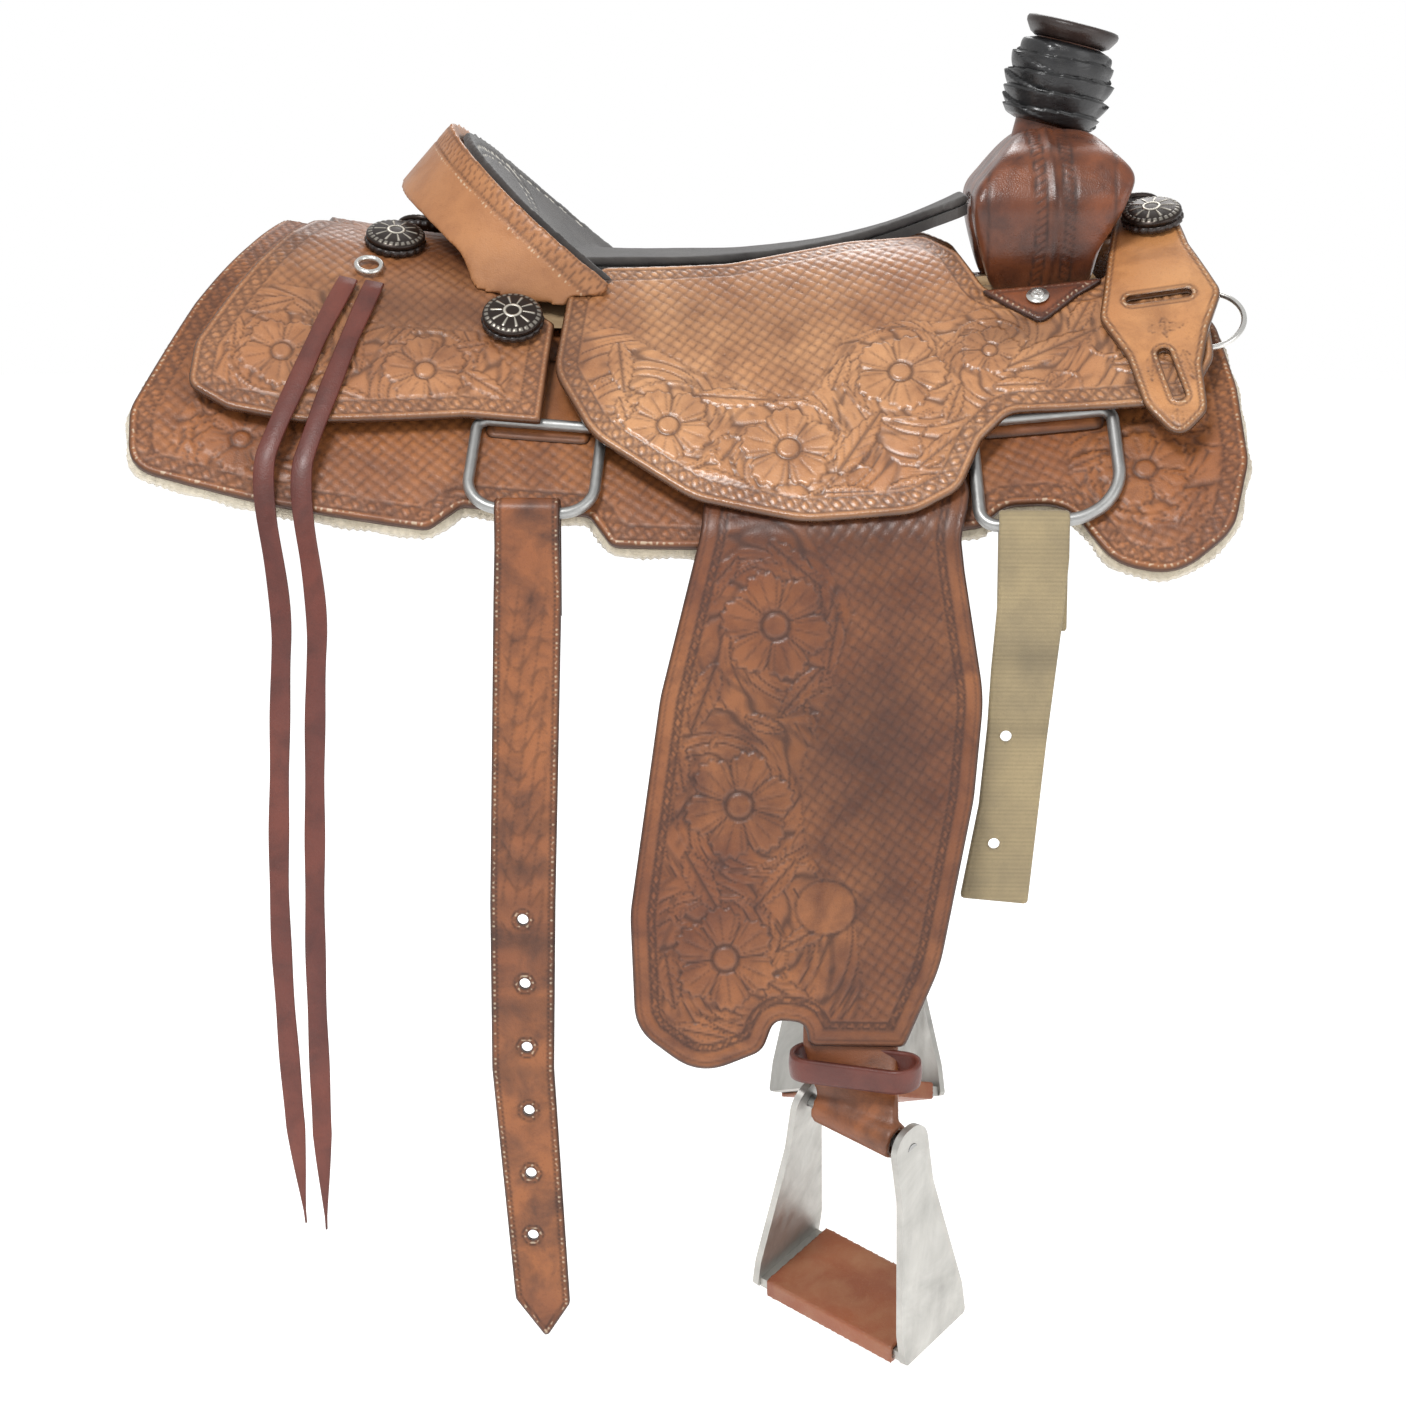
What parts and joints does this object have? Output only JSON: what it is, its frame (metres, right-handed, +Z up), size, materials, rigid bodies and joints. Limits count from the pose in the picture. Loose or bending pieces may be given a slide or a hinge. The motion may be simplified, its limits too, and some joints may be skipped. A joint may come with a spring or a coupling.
{
  "type": "western saddle",
  "caption": "Western roping saddle with tooled leathers, wrapped horn, suede seat, hinged fenders, metal stirrups, rigging dees and billets.",
  "frame": {"origin": "on the spine under the middle of the seat, where the saddle sits on a horse or rack", "axes": "+X forward to the horn, +Z up, -Y to the saddle's right (off) side"},
  "size_m": [0.7811, 0.6866, 0.9367],
  "materials": {
    "back_jockey": "tooled tan leather",
    "breast_ring": "steel wire",
    "cantle_back": "smooth tan leather",
    "cantle_binding": "smooth tan leather binding",
    "carrier": "tooled tan leather",
    "concho_rosettes": "scalloped dark leather",
    "conchos": "domed dark metal with bright raised strokes",
    "fender": "tooled dark red-brown leather",
    "fender_root": "dark red-brown leather",
    "flank_billet": "oiled brown leather",
    "fleece": "cream sheepskin pile",
    "fork_apron": "smooth brown leather",
    "fork_cover": "stamped red-brown leather",
    "fork_screws": "steel screw and washer",
    "front_dee": "dull steel",
    "front_rigging": "brown leather",
    "front_string": "burgundy latigo thong",
    "ground_seat": "skived leather",
    "hobble_strap": "burgundy-brown latigo leather",
    "horn_cap": "dark leather over wood",
    "horn_wrap": "glossy black rubber wrap",
    "off_billet": "khaki ribbed nylon",
    "rear_dee": "dull steel",
    "rear_rigging": "brown leather",
    "rear_string": "burgundy latigo thong",
    "seat_inlay": "dark grey suede",
    "seat_jockey": "tooled light tan leather, waxed",
    "skirt": "tooled russet leather",
    "stirrup": "scuffed sand-cast aluminium",
    "stirrup_bolt": "steel",
    "stirrup_leather": "brown leather",
    "string_dees": "steel wire",
    "tread_cover": "worn red-brown leather",
    "tree_bar": "varnished pine under rawhide",
    "tree_cantle": "varnished pine under rawhide",
    "tree_fork": "varnished pine under rawhide",
    "tree_horn": "leather-brown painted steel"
  },
  "bodies": {
    "saddle": {"back_jockey_left": "back_jockey", "back_jockey_right": "back_jockey", "cantle_back": "cantle_back", "cantle_binding": "cantle_binding", "carrier_left": "carrier", "carrier_right": "carrier", "concho_rosettes": "concho_rosettes", "conchos": "conchos", "fender_root_left": "fender_root", "fender_root_right": "fender_root", "fleece_left": "fleece", "fleece_right": "fleece", "fork_apron": "fork_apron", "fork_cover": "fork_cover", "fork_screws": "fork_screws", "front_rigging_left": "front_rigging", "front_rigging_right": "front_rigging", "front_string_right": "front_string", "ground_seat": "ground_seat", "horn_cap": "horn_cap", "horn_wrap": "horn_wrap", "rear_rigging_left": "rear_rigging", "rear_rigging_right": "rear_rigging", "rear_string_right": "rear_string", "seat_inlay": "seat_inlay", "seat_jockey_left": "seat_jockey", "seat_jockey_right": "seat_jockey", "skirt_left": "skirt", "skirt_right": "skirt", "string_dees": "string_dees", "tree_bar_left": "tree_bar", "tree_bar_right": "tree_bar", "tree_cantle": "tree_cantle", "tree_fork": "tree_fork", "tree_horn": "tree_horn"},
    "fender_right": {"fender_right": "fender", "stirrup_leather_right": "stirrup_leather", "hobble_strap_right": "hobble_strap"},
    "stirrup_right": {"stirrup_right": "stirrup", "tread_cover_right": "tread_cover", "stirrup_bolt_right": "stirrup_bolt"},
    "front_dee_right": {"front_dee_right": "front_dee"},
    "off_billet_right": {"off_billet_right": "off_billet"},
    "rear_dee_right": {"rear_dee_right": "rear_dee"},
    "flank_billet_right": {"flank_billet_right": "flank_billet"},
    "breast_ring_right": {"breast_ring_right": "breast_ring"},
    "fender_left": {"fender_left": "fender", "stirrup_leather_left": "stirrup_leather", "hobble_strap_left": "hobble_strap"},
    "stirrup_left": {"stirrup_left": "stirrup", "tread_cover_left": "tread_cover", "stirrup_bolt_left": "stirrup_bolt"},
    "front_dee_left": {"front_dee_left": "front_dee"},
    "rear_dee_left": {"rear_dee_left": "rear_dee"},
    "breast_ring_left": {"breast_ring_left": "breast_ring"}
  },
  "joints": [
    {"name": "fender_swing_right", "type": "hinge", "parent": "saddle", "child": "fender_right", "pos_m": [0.097, -0.253, -0.158], "axis": [-1, 0, 0], "range_deg": [0, 60]},
    {"name": "fender_swing_left", "type": "hinge", "parent": "saddle", "child": "fender_left", "pos_m": [0.097, 0.253, -0.158], "axis": [1, 0, 0], "range_deg": [0, 60]},
    {"name": "stirrup_swing_right", "type": "hinge", "parent": "fender_right", "child": "stirrup_right", "pos_m": [0.119, -0.303, -0.561], "axis": [0.8004, -0.5573, -0.2211], "range_deg": [-45, 45], "stiffness_Nm_per_rad": 2, "springref_deg": 4.47},
    {"name": "stirrup_swing_left", "type": "hinge", "parent": "fender_left", "child": "stirrup_left", "pos_m": [0.119, 0.303, -0.561], "axis": [-0.8004, -0.5573, 0.2211], "range_deg": [-45, 45], "stiffness_Nm_per_rad": 2, "springref_deg": 4.47},
    {"name": "front_dee_swing_right", "type": "hinge", "parent": "saddle", "child": "front_dee_right", "pos_m": [0.24141, -0.19577, -0.08062], "axis": [-0.9953, 0, -0.0964], "range_deg": [0, 10]},
    {"name": "front_dee_swing_left", "type": "hinge", "parent": "saddle", "child": "front_dee_left", "pos_m": [0.24141, 0.19577, -0.08062], "axis": [0.9953, 0, 0.0964], "range_deg": [0, 10]},
    {"name": "off_billet_swing_right", "type": "hinge", "parent": "front_dee_right", "child": "off_billet_right", "pos_m": [0.23495, -0.24938, -0.14881], "axis": [0.9953, 0, 0.0964], "range_deg": [-50, 0]},
    {"name": "rear_dee_swing_right", "type": "hinge", "parent": "saddle", "child": "rear_dee_right", "pos_m": [-0.10852, -0.19398, -0.08825], "axis": [-0.9975, 0, 0.0709], "range_deg": [0, 16]},
    {"name": "rear_dee_swing_left", "type": "hinge", "parent": "saddle", "child": "rear_dee_left", "pos_m": [-0.10852, 0.19398, -0.08825], "axis": [0.9975, 0, -0.0709], "range_deg": [0, 16]},
    {"name": "flank_billet_swing_right", "type": "hinge", "parent": "rear_dee_right", "child": "flank_billet_right", "pos_m": [-0.11241, -0.24653, -0.14303], "axis": [0.9975, 0, -0.0709], "range_deg": [-40, 0]},
    {"name": "breast_ring_turn_right", "type": "hinge", "parent": "saddle", "child": "breast_ring_right", "pos_m": [0.35728, -0.14949, -0.01731], "axis": [-0.1197, -0.6377, 0.7609], "continuous": true},
    {"name": "breast_ring_turn_left", "type": "hinge", "parent": "saddle", "child": "breast_ring_left", "pos_m": [0.35728, 0.14949, -0.01731], "axis": [0.1197, -0.6377, -0.7609], "continuous": true}
  ]
}
